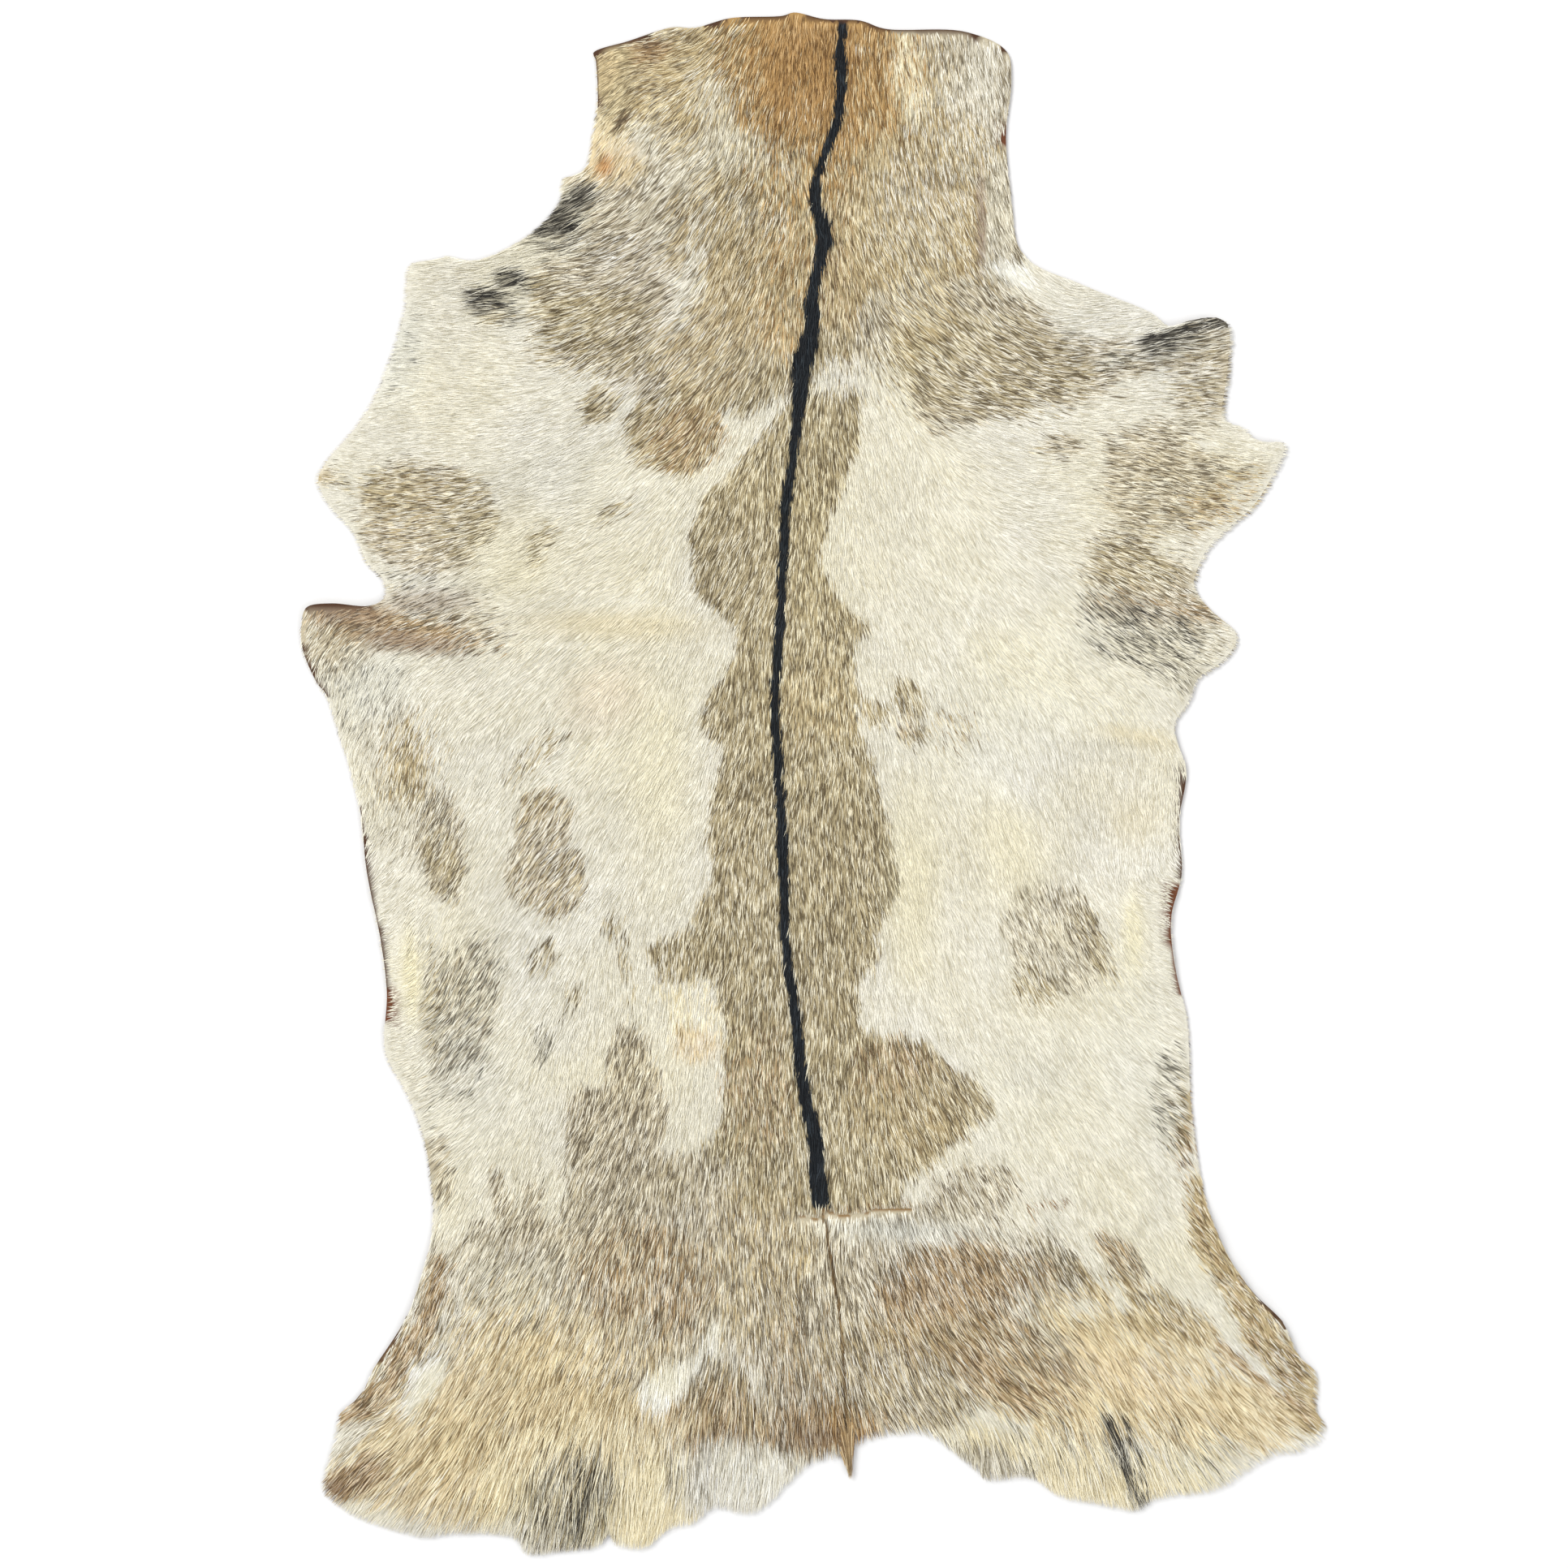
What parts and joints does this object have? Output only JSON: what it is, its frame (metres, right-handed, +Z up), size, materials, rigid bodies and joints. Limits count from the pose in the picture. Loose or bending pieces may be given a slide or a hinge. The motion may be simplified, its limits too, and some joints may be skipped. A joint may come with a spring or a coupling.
{
  "type": "goatskin rug",
  "caption": "Flat natural goatskin with its hair on, a whole skin with neck, legs and tail tuft, lying hair side up as a small floor rug.",
  "frame": {"origin": "on the floor, under the middle of the skin's bounding box", "axes": "+Z up from the floor through the hair side, +Y along the back towards the neck, +X across the skin to the right as seen from above"},
  "size_m": [0.6338, 0.951, 0.0133],
  "materials": {
    "goatskin": "short lying hair, cream with taupe patches and a black back stripe, over pale suede"
  },
  "bodies": {
    "root": {"hide": "goatskin"}
  },
  "joints": []
}
